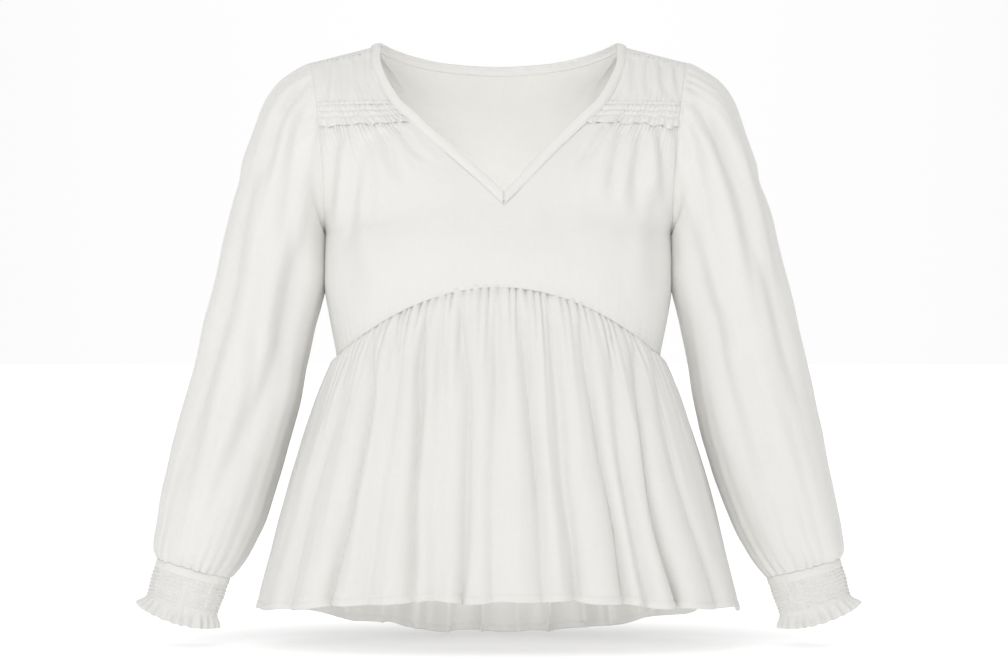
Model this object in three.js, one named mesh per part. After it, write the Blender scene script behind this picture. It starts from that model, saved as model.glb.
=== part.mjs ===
// A white V-neck blouse, filled out as if worn: shoulder yokes over shirred shoulder bands, a bound neck,
// long sleeves gathered at the head and into shirred cuffs, and a peplum gathered onto an arched empire seam.
// Each piece that a maker would cut is one closed wall of cloth, with a small gap at every seam.
// Millimetres. The origin lies between the two high shoulder points, where the wearer's shoulders carry the
// blouse. +Z is up, the front faces -Y, and +X is the wearer's left.
import * as THREE from "three";

// Driving dimensions.
const CLOTH = 1.6; // wall of the body, sleeves and peplum
const DOUBLED = 2; // wall of the binding, bands and cuffs, where cloth is folded or shirred
const SEAM_GAP = 0.3; // each piece stops this far short of the seams round it
const ROUNDING = 2.5; // cross sections of the body: 2 is an ellipse, more is squarer
const UNDERARM_Z = -211;
const WAIST_Z = -344; // the empire seam at the side seams, and all across the back
const WAIST_HALF = 176.5; // half the body's width there
const HEM_SIDE_Z = -618;
const HEM_HALF = 264.5; // half the peplum's width at the hem
const FLARE = 0.75; // under 1, the peplum swells as soon as it leaves the seam
const V_LEAN = 6; // the point of the V hangs this far to the wearer's left

// The armhole is one tilted oval. The angle runs from 0 at the shoulder tip to 180 at the underarm.
const ARMHOLE = { x: 198, lean: 8, bow: 4.5, z: -116, rise: 95, front: 50, back: 54 };

// The front half, from the ridge of the shoulder down to the empire seam. edge is the neck edge, and seam is
// where the binding joins the panel, then the centre front line. armhole is the angle where the row of cloth
// ends, side the height on the side seam, wrap how far the row turns round the body, and sag how it dips.
const FRONT_NECK = [
  { name: "ridge", edge: [129.5, 0, 0], seam: [139, 0, -3], armhole: 0, wrap: 0.5, sag: 1 },
  { name: "shoulder seam", edge: [129, -17, -7], seam: [138.5, -16, -10], armhole: 12, wrap: 0.6, sag: 1 },
  { name: "yoke", edge: [127, -38, -27], seam: [136, -36, -31], armhole: 34, wrap: 0.75, sag: 1.1 },
  { name: "band top", edge: [109, -62, -61], seam: [117, -62, -67], armhole: 59, wrap: 0.88, sag: 1.2 },
  { name: "band bottom", edge: [87, -74, -83], seam: [94, -75, -90.5], armhole: 77, wrap: 0.93, sag: 1.3 },
  { name: "chest", edge: [43, -92, -124], seam: [50, -94, -131.5], armhole: 112, wrap: 0.97, sag: 1.5 },
  { name: "V point", edge: [0, -108, -166], seam: [0, -111, -180], armhole: 150, wrap: 0.99, sag: 1.7 },
];
const FRONT_CENTRE = [
  { name: "V point", seam: [0, -111, -180], armhole: 150, wrap: 0.99, sag: 1.7 },
  { name: "underarm", seam: [0, -118, -203], armhole: 180, side: UNDERARM_Z, wrap: 1, sag: 1.8 },
  { name: "bust", seam: [0, -123, -236], side: -272, wrap: 1, sag: 1.9 },
  { name: "empire seam", seam: [0, -119, -269], side: WAIST_Z, wrap: 1, sag: 2 },
];
const RIDGE = 0;
const SHOULDER_SEAM = 1;
const BAND_TOP = 3;
const BAND_BOTTOM = 4;
const V_POINT = 6;
const UNDERARM = 7;
const EMPIRE_SEAM = 9;

// The back half, from across the shoulder blades down to the waist.
const BACK = [
  { name: "across back", seam: [0, 90, -78], armhole: 80, wrap: 0.93, sag: 1.5 },
  { name: "shoulder blades", seam: [0, 98, -135], armhole: 122, wrap: 0.97, sag: 1.7 },
  { name: "underarm", seam: [0, 99, -195], armhole: 180, side: UNDERARM_Z, wrap: 1, sag: 1.8 },
  { name: "mid back", seam: [0, 94, -268], side: -276, wrap: 1, sag: 2 },
  { name: "waist seam", seam: [0, 84, WAIST_Z], side: WAIST_Z, wrap: 1, sag: 2 },
];

// The back neck, from centre back to the ridge of the shoulder.
const BACK_NECK = [
  { edge: [0, 75, -20], seam: [0, 78.5, -29.4] },
  { edge: [54, 66, -17.5], seam: [55.5, 70, -26.5] },
  { edge: [89, 50, -12], seam: [92.5, 54.5, -20.5] },
  { edge: [114, 27, -5.5], seam: [121, 31, -12] },
  { edge: [129.5, 0, 0], seam: [139, 0, -3] },
];

// The side seam's distance from the middle, by height.
const SIDE = [
  { z: WAIST_Z, x: WAIST_HALF },
  { z: -315, x: 182.5 },
  { z: -282, x: 188.5 },
  { z: -250, x: 191 },
  { z: UNDERARM_Z, x: 190 },
];

// The sleeve's rings below the armhole: the place of the side nearest the body, the place of the outer side,
// both across and up, and half the depth from front to back. The left sleeve lies this much nearer the body
// on its inner side, and the right one on its outer side.
const SLEEVE = [
  { inner: [193.6, -213], outer: [222, -28.5], half: 55, left: 0, right: 0 },
  { inner: [193.8, -218], outer: [242.5, -43.5], half: 60, left: 0, right: 0 },
  { inner: [194, -226], outer: [257, -64], half: 63, left: 0, right: 0 },
  { inner: [194.2, -240], outer: [270, -96], half: 64, left: 0, right: 0.5 },
  { inner: [194.6, -262], outer: [286, -141], half: 64, left: 0, right: 1 },
  { inner: [200.5, -293], outer: [302.5, -194], half: 63, left: 0, right: 3 },
  { inner: [211, -340], outer: [318, -262], half: 62, left: 2, right: 5 },
  { inner: [221, -398], outer: [334, -335], half: 62, left: 4.5, right: 7.5 },
  { inner: [236, -455], outer: [352, -412], half: 61, left: 5.5, right: 4 },
  { inner: [252, -510], outer: [368, -480], half: 58, left: 3, right: 1.5 },
  { inner: [270, -551], outer: [378, -534], half: 51, left: 1.5, right: 1.5 },
  { inner: [285, -574], outer: [379.5, -556], half: 40, left: 0.5, right: 1 },
  { inner: [296, -585], outer: [374, -564], half: 30, left: 0, right: 0 },
];

// The cuff's rings, from the seam with the sleeve, over the shirred part, to the edge of the frill. dip is
// how far the front and back hang below the sides.
const CUFF = [
  { inner: [296, -586.5], outer: [374, -565.5], half: 29, dip: 0 },
  { inner: [302.5, -607], outer: [381, -585], half: 28, dip: 0.5 },
  { inner: [309.5, -626], outer: [386, -605], half: 27.5, dip: 1 },
  { inner: [309.5, -642], outer: [397, -616], half: 33, dip: 6 },
];
const FRILL_WAVES = 12;
const FRILL_WAVE_HEIGHT = 2.5;

const SLEEVE_FOLDS = 7;
const SLEEVE_FOLD_HEIGHT = 2.6;

// The valleys between the peplum's folds: their place across the body at the seam and at the hem, and how
// deep they are at the hem.
const FRONT_FOLDS = [
  { seam: -160, hem: -232, depth: 9 },
  { seam: -140, hem: -189, depth: 17 },
  { seam: -114, hem: -143, depth: 9 },
  { seam: -90, hem: -107, depth: 16 },
  { seam: -63, hem: -74, depth: 10 },
  { seam: -35, hem: -42, depth: 14 },
  { seam: -9, hem: -6, depth: 9 },
  { seam: 22, hem: 55, depth: 15 },
  { seam: 55, hem: 86, depth: 13 },
  { seam: 90, hem: 122, depth: 14 },
  { seam: 119, hem: 153, depth: 9 },
  { seam: 147, hem: 193, depth: 16 },
  { seam: 164, hem: 234, depth: 9 },
];
const BACK_FOLDS = [
  { seam: -158, hem: -226, depth: 10 },
  { seam: -133, hem: -178, depth: 15 },
  { seam: -106, hem: -136, depth: 10 },
  { seam: -78, hem: -94, depth: 16 },
  { seam: -47, hem: -61, depth: 11 },
  { seam: -20, hem: -19, depth: 14 },
  { seam: 12, hem: 22, depth: 10 },
  { seam: 41, hem: 58, depth: 15 },
  { seam: 70, hem: 97, depth: 11 },
  { seam: 101, hem: 131, depth: 16 },
  { seam: 129, hem: 176, depth: 10 },
  { seam: 157, hem: 229, depth: 13 },
];
const PEPLUM_HEM = {
  front: { centre: [0, -163, -602], sag: 2 },
  back: { centre: [0, 146, -658], sag: 2 },
};

// How finely each piece is divided.
const BODY_COLUMNS = 12;
const NECK_COLUMNS = 7;
const SHOULDER_COLUMNS = 5;
const SLEEVE_COLUMNS = 24;
const CUFF_COLUMNS = 24;
const FOLD_COLUMNS = 4;
const PEPLUM_ROWS = 6;

const point = ([x, y, z]) => new THREE.Vector3(x, y, z);
const mirrored = (p) => new THREE.Vector3(-p.x, p.y, p.z);
const lerp = THREE.MathUtils.lerp;
const steps = (from, to, count) => Array.from({ length: count + 1 }, (_, i) => lerp(from, to, i / count));

// A smooth value through a list of numbers, at a place counted in entries.
function smooth(values, at) {
  const i = Math.min(Math.max(Math.floor(at), 0), values.length - 2);
  const t = at - i;
  const before = values[i - 1] ?? 2 * values[i] - values[i + 1];
  const after = values[i + 2] ?? 2 * values[i + 1] - values[i];
  const [b, c] = [values[i], values[i + 1]];
  const bend = 2 * before - 5 * b + 4 * c - after;
  return b + 0.5 * t * (c - before + t * (bend + t * (3 * (b - c) + after - before)));
}
const smoothPoint = (points, at) => point([0, 1, 2].map((k) => smooth(points.map((p) => p[k]), at)));
const column = (table, name) => table.map((entry) => entry[name]);

function armhole(degrees, face) {
  const a = THREE.MathUtils.degToRad(degrees);
  const depth = face === "front" ? -ARMHOLE.front : ARMHOLE.back;
  return point([
    ARMHOLE.x + ARMHOLE.lean * Math.cos(a) - ARMHOLE.bow * Math.sin(a) ** 2,
    depth * Math.sin(a),
    ARMHOLE.z + ARMHOLE.rise * Math.cos(a),
  ]);
}

// The point of the side seam at a height.
function sideSeam(z) {
  const i = Math.max(1, SIDE.findIndex((entry) => entry.z >= z - 1e-9));
  const at = i - 1 + (z - SIDE[i - 1].z) / (SIDE[i].z - SIDE[i - 1].z);
  return point([smooth(column(SIDE, "x"), at), 0, z]);
}

// One row of cloth across half the body, as points evenly spaced along it, from the panel's inner edge to its
// outer edge. It starts out square to the body's middle and turns round it towards the side.
function clothRow(inner, outer, wrap, sag, columns) {
  const turn = (share) => 1 - Math.max(0, 1 - share ** ROUNDING) ** (1 / ROUNDING);
  const fine = steps(0, 1, 80).map((s) => {
    const across = 1 - (1 - s) ** 3;
    return point([
      lerp(inner.x, outer.x, across),
      lerp(inner.y, outer.y, turn(wrap * across) / turn(wrap)),
      lerp(inner.z, outer.z, across ** sag),
    ]);
  });
  const along = [0];
  fine.slice(1).forEach((p, i) => along.push(along[i] + p.distanceTo(fine[i])));
  const length = along.at(-1);
  return columns.map((share) => {
    const want = length * share;
    const i = Math.min(Math.max(along.findIndex((a) => a >= want), 1), fine.length - 1);
    return fine[i - 1].clone().lerp(fine[i], (want - along[i - 1]) / (along[i] - along[i - 1]));
  });
}

// The V's point hangs a little to one side, and carries the cloth round it along.
function hung(p) {
  const near = Math.exp(-(((p.z + 166) / 48) ** 2)) * Math.max(0, 1 - Math.abs(p.x) / ARMHOLE.x);
  return point([p.x + V_LEAN * near, p.y, p.z]);
}

const seamOf = (table, at) => smoothPoint(column(table, "seam"), at);
const edgeOf = (table, at) => smoothPoint(column(table, "edge"), at);

// The front's outer edge: the armhole, then the side seam.
function frontOuter(v) {
  if (v >= UNDERARM) return sideSeam(smooth([UNDERARM_Z, -272, WAIST_Z], v - UNDERARM));
  const angles = [...column(FRONT_NECK, "armhole"), FRONT_CENTRE[1].armhole];
  return armhole(smooth(angles, v), "front");
}

// A row of the front at a place counted in the tables' entries.
function frontRow(v, columns) {
  const [table, at] = v < V_POINT ? [FRONT_NECK, v] : [FRONT_CENTRE, v - V_POINT];
  const [wrap, sag] = ["wrap", "sag"].map((name) => smooth(column(table, name), at));
  return clothRow(seamOf(table, at), frontOuter(v), wrap, sag, columns);
}

function backRow(v, columns) {
  const outer =
    v >= 2
      ? sideSeam(smooth([UNDERARM_Z, -276, WAIST_Z], v - 2))
      : armhole(smooth(column(BACK.slice(0, 3), "armhole"), v), "back");
  const [wrap, sag] = ["wrap", "sag"].map((name) => smooth(column(BACK, name), v));
  return clothRow(seamOf(BACK, v), outer, wrap, sag, columns);
}

// The neck's whole back half, from ridge to ridge: the places of its edge, or of the binding's seam.
const wholeNeck = (name) => [
  ...column(BACK_NECK.slice(1), name).reverse().map(([x, y, z]) => [-x, y, z]),
  ...column(BACK_NECK, name),
];

// Points along the back neck, between two places counted in the whole neck's points.
const neckLine = (name, from, to) =>
  steps(from, to, NECK_COLUMNS).map((at) => smoothPoint(wholeNeck(name), at));

// The back above the shoulder blades: each column of cloth runs up to the neck, square to it at the centre,
// or forward over the shoulder to the ridge.
function backShoulder(rises) {
  const columns = [...steps(0, 0.5, NECK_COLUMNS), ...steps(0.5, 1, SHOULDER_COLUMNS).slice(1)];
  const low = backRow(0, columns);
  const lower = backRow(0.2, columns);
  const [seam, edge] = ["seam", "edge"].map((name) => neckLine(name, 4, 8));
  const top = [...seam, ...frontRow(RIDGE, steps(0, 1, SHOULDER_COLUMNS)).slice(1)];
  const run = (i, rise) => {
    const chord = low[i].distanceTo(top[i]);
    const start = low[i].clone().sub(lower[i]).setLength(chord);
    const end = point([0, -1, 0]);
    if (i < NECK_COLUMNS) {
      const along = seam[i + 1].clone().sub(seam[i]).normalize();
      end.copy(edge[i]).sub(seam[i]).normalize().lerp(along, 0.9 * (i / NECK_COLUMNS) ** 2);
    }
    end.setLength(chord);
    const [a, b] = [1 - rise, rise];
    return low[i].clone().multiplyScalar(a * a * (1 + 2 * b))
      .addScaledVector(start, a * a * b)
      .addScaledVector(top[i], b * b * (1 + 2 * a))
      .addScaledVector(end, -b * b * a);
  };
  return rises.map((rise) => {
    const last = columns.length - 1;
    const pull = armhole(BACK[0].armhole * (1 - rise), "back").sub(run(last, rise));
    return columns.map((share, i) =>
      run(i, rise).addScaledVector(pull, THREE.MathUtils.smoothstep(share, 0.5, 1)),
    );
  });
}

// A ring of the sleeve or the cuff. The angle is 0 on the outer side and 90 at the front.
function ring(entry, degrees) {
  const a = THREE.MathUtils.degToRad(degrees);
  const across = (k) => lerp(entry.inner[k], entry.outer[k], (1 + Math.cos(a)) / 2);
  return point([across(0), -entry.half * Math.sin(a), across(1) - (entry.dip ?? 0) * Math.sin(a) ** 2]);
}

// The sleeve's own ring on the armhole, just clear of the body.
function sleeveHead(degrees) {
  const a = degrees > 180 ? 360 - degrees : degrees;
  const clear = lerp(1.1, 3.2, THREE.MathUtils.smoothstep(a, 60, 180));
  const seam = armhole(a, degrees > 180 ? "back" : "front");
  return point([seam.x + clear, seam.y, seam.z]);
}

// The middle of a tube of rings, at a place counted in rings.
function middle(table, v) {
  return smoothPoint(table.map((entry) => ring(entry, 0).add(ring(entry, 180)).divideScalar(2).toArray()), v);
}

function sleevePoint(side, v, degrees) {
  const table = SLEEVE.map((entry) => ({
    ...entry,
    inner: [entry.inner[0] - (side === "left" ? entry.left : 0), entry.inner[1]],
    outer: [entry.outer[0] - (side === "right" ? entry.right : 0), entry.outer[1]],
  }));
  const rings = [sleeveHead(degrees), ...table.map((entry) => ring(entry, degrees))];
  const p = smoothPoint(rings.map((r) => r.toArray()), v);
  const down = v / SLEEVE.length;
  const height = SLEEVE_FOLD_HEIGHT * Math.sin(Math.PI * Math.min(1, down * 1.05)) ** 0.8;
  const outside = Math.max(0.15, 0.5 + 0.5 * Math.cos(THREE.MathUtils.degToRad(degrees)));
  const fold = height * outside * Math.cos(THREE.MathUtils.degToRad(SLEEVE_FOLDS * degrees));
  return p.addScaledVector(p.clone().sub(middle([table[0], ...table], v)).normalize(), fold);
}

function cuffPoint(v, degrees) {
  const p = smoothPoint(CUFF.map((entry) => ring(entry, degrees).toArray()), v);
  const frill = THREE.MathUtils.smoothstep(v, 2, 3);
  const wave = FRILL_WAVE_HEIGHT * frill * Math.cos(THREE.MathUtils.degToRad(FRILL_WAVES * degrees));
  return p.addScaledVector(p.clone().sub(middle(CUFF, v)).normalize(), wave);
}

// The peplum as a grid of rows from the seam to the hem. Its columns follow the valleys of the folds.
function peplumGrid(face, folds) {
  const hem = PEPLUM_HEM[face];
  const seam = face === "front" ? FRONT_CENTRE.at(-1) : BACK.at(-1);
  const half = (centre, outer, sag) => {
    const shares = steps(0, 1, 200);
    const row = clothRow(point(centre), outer, 1, sag, shares);
    // A point by how far round the half it lies, and how far round a place across the body is.
    const at = (round) => {
      const i = Math.min(Math.floor(Math.abs(round) * 200), 199);
      const p = row[i].clone().lerp(row[i + 1], Math.abs(round) * 200 - i);
      return round < 0 ? mirrored(p) : p;
    };
    const roundOf = (x) => Math.sign(x) * (row.findIndex((p) => p.x >= Math.abs(x)) / 200);
    return { at, roundOf };
  };
  const top = half(seam.seam, sideSeam(WAIST_Z), seam.sag);
  const bottom = half(hem.centre, point([HEM_HALF, 0, HEM_SIDE_Z]), hem.sag);
  const valleys = [
    { top: -1, bottom: -1, depth: 0 },
    ...folds.map((f) => ({ top: top.roundOf(f.seam), bottom: bottom.roundOf(f.hem), depth: f.depth })),
    { top: 1, bottom: 1, depth: 0 },
  ];
  const columns = valleys.slice(1).flatMap((next, i) => {
    const last = valleys[i];
    return steps(0, 1, FOLD_COLUMNS).slice(i ? 1 : 0).map((share) => ({
      top: lerp(last.top, next.top, share),
      bottom: lerp(last.bottom, next.bottom, share),
      height: lerp(last.depth, next.depth, share) * (0.5 - Math.abs(2 * share - 1) ** 2.2),
    }));
  });
  const trimTop = (2 * SEAM_GAP) / 300;
  const trimSide = SEAM_GAP / 2 / 260;
  return steps(trimTop, 1, PEPLUM_ROWS).map((t) =>
    columns.map(({ top: a, bottom: b, height }, i) => {
      const inside = (round) => THREE.MathUtils.clamp(round, trimSide - 1, 1 - trimSide);
      const [s, h] = [top.at(inside(a)), bottom.at(inside(b))];
      const flare = t ** FLARE;
      const p = point([lerp(s.x, h.x, flare), lerp(s.y, h.y, flare), lerp(s.z, h.z, t)]);
      const out = point([p.x / HEM_HALF ** 2, p.y / hem.centre[1] ** 2, 0]).normalize();
      return p.addScaledVector(out, height * t ** 0.7);
    }),
  );
}

// Gives an open surface, made of grids of points that share their edges, a wall: a copy moved out, a copy
// moved in and a rim between them.
function wall(grids, thickness) {
  const points = [];
  const known = new Map();
  const number = (p) => {
    const key = [p.x, p.y, p.z].map((c) => Math.round(c * 500)).join();
    if (!known.has(key)) known.set(key, points.push(p) - 1);
    return known.get(key);
  };
  const faces = [];
  const face = (a, b, c) => a !== b && b !== c && a !== c && faces.push([a, b, c]);
  for (const grid of grids)
    for (let r = 0; r + 1 < grid.length; r++)
      for (let c = 0; c + 1 < grid[r].length; c++) {
        const corners = [grid[r][c], grid[r][c + 1], grid[r + 1][c + 1], grid[r + 1][c]];
        const [p, q, s, t] = corners.map(number);
        if (corners[0].distanceTo(corners[2]) < corners[1].distanceTo(corners[3])) {
          face(p, q, s);
          face(p, s, t);
        } else {
          face(p, q, t);
          face(q, s, t);
        }
      }
  const normals = points.map(() => new THREE.Vector3());
  for (const f of faces) {
    const [p, q, s] = f.map((i) => points[i]);
    const n = q.clone().sub(p).cross(s.clone().sub(p));
    f.forEach((i) => normals[i].add(n));
  }
  const moved = (by) => points.map((p, i) => p.clone().addScaledVector(normals[i].clone().normalize(), by));
  const count = points.length;
  const all = [...moved(thickness / 2), ...moved(-thickness / 2)];
  const triangles = faces.flatMap(([a, b, c]) => [[a, b, c], [c + count, b + count, a + count]]);
  const used = new Set(faces.flatMap(([a, b, c]) => [`${a},${b}`, `${b},${c}`, `${c},${a}`]));
  for (const edge of used) {
    const [a, b] = edge.split(",").map(Number);
    if (!used.has(`${b},${a}`)) triangles.push([b, a, a + count], [b, a + count, b + count]);
  }
  const volume = triangles.reduce((sum, [a, b, c]) => sum + all[a].dot(all[b].clone().cross(all[c])), 0);
  if (volume < 0) triangles.forEach((t) => t.reverse());
  const geometry = new THREE.BufferGeometry();
  geometry.setAttribute("position", new THREE.Float32BufferAttribute(all.flatMap((p) => p.toArray()), 3));
  geometry.setIndex(triangles.flat());
  geometry.computeVertexNormals();
  return geometry;
}

const otherSide = (grid) => grid.map((row) => row.map(mirrored));
const both = (grid) => [grid, otherSide(grid).map((row) => row.reverse())];

const toward = (p, q, by) => p.clone().add(q.clone().sub(p).setLength(by));

// Draws a grid's edges in from the seams they lie on: its first row, last row, first column and last column.
function drawnIn(grid, { first = 0, last = 0, inner = 0, outer = 0 }) {
  const rows = grid.map((row) => [
    toward(row[0], row[1], inner),
    ...row.slice(1, -1),
    toward(row.at(-1), row.at(-2), outer),
  ]);
  return [
    rows[0].map((p, i) => toward(p, rows[1][i], first)),
    ...rows.slice(1, -1),
    rows.at(-1).map((p, i) => toward(p, rows.at(-2)[i], last)),
  ];
}

// Evens out the inner points of a grid, between two rows.
function eased(grid, from, to, times) {
  let rows = grid;
  for (let n = 0; n < times; n++)
    rows = rows.map((row, r) =>
      row.map((p, c) => {
        if (r < from || r > to || c === 0 || c === row.length - 1) return p;
        const around = [row[c - 1], row[c + 1], rows[r - 1][c], rows[r + 1][c]];
        return around.reduce((sum, q) => sum.add(q), p.clone()).divideScalar(around.length + 1);
      }),
    );
  return rows;
}

const blouse = new THREE.Group();
const offWhite = new THREE.MeshStandardMaterial({ color: 0xf0efea, roughness: 0.85, metalness: 0 });

function sew(name, grids, thickness) {
  const mesh = new THREE.Mesh(wall(grids, thickness), offWhite.clone());
  mesh.name = name;
  blouse.add(mesh);
}

// Front bodice: from the shirred bands to the empire seam, in one piece below the V.
const sides = [
  { side: "left", turned: (grid) => grid },
  { side: "right", turned: otherSide },
];
const neckRows = 4;
const frontRows = [...steps(BAND_BOTTOM, V_POINT, neckRows), ...steps(V_POINT, EMPIRE_SEAM, 5).slice(1)];
const frontHalves = sides.map(({ turned }) => {
  const grid = drawnIn(
    frontRows.map((v) => frontRow(v, steps(0, 1, BODY_COLUMNS))),
    { first: SEAM_GAP, last: SEAM_GAP, outer: SEAM_GAP },
  );
  grid.slice(0, neckRows).forEach((row) => (row[0] = toward(row[0], row[1], SEAM_GAP)));
  grid[neckRows][0] = toward(grid[neckRows][0], grid[neckRows + 1][0], 2 * SEAM_GAP);
  return turned(grid).map((row) => row.map(hung));
});
sew("front_bodice", [frontHalves[0], frontHalves[1].map((row) => row.reverse())], CLOTH);

// Shoulder yokes and the shirred bands below them.
for (const { side, turned } of sides) {
  const edges = { first: SEAM_GAP, last: SEAM_GAP, inner: SEAM_GAP, outer: SEAM_GAP };
  const patch = (from, to, rows, columns) =>
    turned(drawnIn(steps(from, to, rows).map((v) => frontRow(v, steps(0, 1, columns))), edges)).map((row) =>
      row.map(hung),
    );
  sew(`shoulder_yoke_${side}`, [patch(SHOULDER_SEAM, BAND_TOP, 4, 8)], CLOTH);
  sew(`shoulder_band_${side}`, [patch(BAND_TOP, BAND_BOTTOM, 2, 10)], DOUBLED);
}

// Back bodice: up the back, over the ridge of the shoulders and down to the shoulder seams.
const backColumns = [...steps(0, 0.5, NECK_COLUMNS), ...steps(0.5, 1, SHOULDER_COLUMNS).slice(1)];
const backHalf = [
  ...backShoulder([1, 0.7, 0.4, 0.15]),
  ...steps(0, BACK.length - 1, 7).map((v) => backRow(v, backColumns)),
];
const wholeBack = backHalf.map((row) => [...row.slice(1).map(mirrored).reverse(), ...row]);
const back = drawnIn(eased(wholeBack, 1, 4, 12), { last: SEAM_GAP, outer: SEAM_GAP, inner: SEAM_GAP });
const ridgeToSeam = steps(RIDGE, SHOULDER_SEAM, 1).map((v) => frontRow(v, steps(0, 1, SHOULDER_COLUMNS)));
const flap = drawnIn(ridgeToSeam, { last: SEAM_GAP, outer: SEAM_GAP });
const NECK_GAP = 3 * SEAM_GAP;
const centreBack = NECK_COLUMNS + SHOULDER_COLUMNS;
back[0] = back[0].map((p, i) => {
  const fromCentre = i - centreBack;
  if (Math.abs(fromCentre) < NECK_COLUMNS) return toward(p, back[1][i], NECK_GAP);
  if (Math.abs(fromCentre) === NECK_COLUMNS) return toward(p, back[0][i + Math.sign(fromCentre)], NECK_GAP);
  return p;
});
flap[0][0] = back[0][centreBack + NECK_COLUMNS];
flap[1][0] = toward(flap[1][0], flap[1][1], 2 * SEAM_GAP);
sew("back_bodice", [back, ...both([...flap].reverse())], CLOTH);

// Neck binding: one strip round the neck, with its ends mitred together at the point of the V.
const strip = (seam, edge) => [toward(seam, edge, SEAM_GAP), edge];
const mitre = point([1.5 * SEAM_GAP, 0, 0]);
const frontNeckRows = [...frontRows.slice(0, neckRows + 1).reverse(), ...steps(BAND_TOP, SHOULDER_SEAM, 4)];
const bindingHalf = [
  ...frontNeckRows.map((v) => strip(seamOf(FRONT_NECK, v), edgeOf(FRONT_NECK, v))),
  ...neckLine("seam", 8, 4).map((seam, i) => strip(seam, neckLine("edge", 8, 4)[i])),
];
bindingHalf[0] = bindingHalf[0].map((p) => p.clone().add(mitre));
bindingHalf[0][0].z += SEAM_GAP;
const binding = [...bindingHalf, ...bindingHalf.slice(0, -1).reverse().map((pair) => pair.map(mirrored))];
sew("neck_binding", [binding.map((pair) => pair.map(hung))], DOUBLED);

// Sleeves and cuffs.
const sleeveRows = [0, 0.5, 1, 1.8, 2.9, 4.2, 5.5, 6.8, 8.2, 9.5, 10.5, 11.4, 12.3, SLEEVE.length];
const cuffRows = [0, 1, 2, 2.5, 3];
for (const { side, turned } of sides) {
  const tube = (rows, count, at) => turned(rows.map((v) => steps(0, 360, count).map((a) => at(v, a))));
  sew(`sleeve_${side}`, [tube(sleeveRows, SLEEVE_COLUMNS, (v, a) => sleevePoint(side, v, a))], CLOTH);
  sew(`cuff_${side}`, [tube(cuffRows, CUFF_COLUMNS, cuffPoint)], DOUBLED);
}

// Peplum: front and back, gathered onto the body and joined at the side seams.
sew("peplum_front", [peplumGrid("front", FRONT_FOLDS)], CLOTH);
sew("peplum_back", [peplumGrid("back", BACK_FOLDS)], CLOTH);

export default blouse;
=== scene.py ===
from functools import lru_cache
from math import cos, exp, pi, radians, sin

import bmesh
import bpy
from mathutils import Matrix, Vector, noise


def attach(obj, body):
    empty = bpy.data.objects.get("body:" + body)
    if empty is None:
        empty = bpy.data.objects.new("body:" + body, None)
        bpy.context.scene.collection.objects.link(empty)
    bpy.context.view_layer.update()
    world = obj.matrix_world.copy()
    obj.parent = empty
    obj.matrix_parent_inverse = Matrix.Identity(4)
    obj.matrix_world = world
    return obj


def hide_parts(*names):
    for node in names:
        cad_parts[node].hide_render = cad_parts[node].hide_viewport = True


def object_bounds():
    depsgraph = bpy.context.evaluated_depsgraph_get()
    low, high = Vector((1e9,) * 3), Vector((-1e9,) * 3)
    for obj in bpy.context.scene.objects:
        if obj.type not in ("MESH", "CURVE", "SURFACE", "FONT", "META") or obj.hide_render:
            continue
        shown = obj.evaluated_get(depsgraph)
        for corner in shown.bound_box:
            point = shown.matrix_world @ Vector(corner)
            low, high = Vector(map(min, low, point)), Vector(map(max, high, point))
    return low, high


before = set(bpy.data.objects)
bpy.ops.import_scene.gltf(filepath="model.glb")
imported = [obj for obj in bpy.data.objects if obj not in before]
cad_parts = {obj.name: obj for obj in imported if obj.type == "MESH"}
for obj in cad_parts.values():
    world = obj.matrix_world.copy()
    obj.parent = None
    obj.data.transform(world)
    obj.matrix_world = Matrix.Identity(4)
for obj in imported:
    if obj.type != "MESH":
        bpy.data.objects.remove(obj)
cad_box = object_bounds()
MM = 0.001  # the cutter's tables are in millimetres, and the scene in metres

# ---------------------------------------------------------------------------------------------------------
# Camera: level with the middle of the blouse and straight in front of it, far enough off that its sides
# hardly converge.
EYE = Vector((0.006, -4.0, -0.321))
VIEW_WIDTH = 1.1088  # metres across the view at the blouse
SENSOR_WIDTH = 36.0
eye_data = bpy.data.cameras.new("camera")
eye_data.sensor_width = SENSOR_WIDTH
eye_data.lens = SENSOR_WIDTH * -EYE.y / VIEW_WIDTH
eye = bpy.data.objects.new("camera", eye_data)
eye.location = EYE
eye.rotation_euler = (radians(90), 0, 0)
bpy.context.collection.objects.link(eye)
bpy.context.scene.camera = eye

# ---------------------------------------------------------------------------------------------------------
# Studio: a wide matt white floor just under the hem that glows by itself, painted light, and glows less
# under the blouse, a painted shadow there; in white air, with a broad soft light high on the left.
FLOOR_DROP = 0.004  # the floor lies this far under the lowest hem
FLOOR_RADIUS = 40
FLOOR_WHITE = (0.50, 0.50, 0.50, 1)
# The floor's own glow is painted light: dimmer in the painted shadow under the blouse, full in the open.
SHADOW_GLOW, OPEN_GLOW = (0.29, 0.29, 0.29, 1), (0.76, 0.76, 0.76, 1)
SHADOW_Y, SHADOW_HALF_WIDTH, SHADOW_HALF_DEPTH = 0.12, 0.34, 0.24
SHADOW_FROM, SHADOW_TO = 0.15, 1.5  # where the glow starts to rise and where it is full, in those halves
MIX_A, MIX_B, MIX_COLOUR = 6, 7, 2  # the colour sockets of a Mix node
floor_z = cad_box[0].z - FLOOR_DROP


def lerp(a, b, t):
    return a + (b - a) * t


class Wired:
    """A node's output that arithmetic can be done on: each operation adds one Math node."""

    def __init__(self, tree, socket):
        self.tree = tree
        self.socket = socket

    def maths(self, operation, *values):
        inputs = {i: v for i, v in enumerate(values)}
        return add_node(self.tree, "ShaderNodeMath", {"operation": operation}, inputs)

    def __add__(self, other):
        return self.maths("ADD", self, other)

    def __mul__(self, other):
        return self.maths("MULTIPLY", self, other)

    def __rsub__(self, other):
        return self.maths("SUBTRACT", other, self)

    def __pow__(self, other):
        return self.maths("POWER", self, other)

    __radd__ = __add__
    __rmul__ = __mul__


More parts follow.
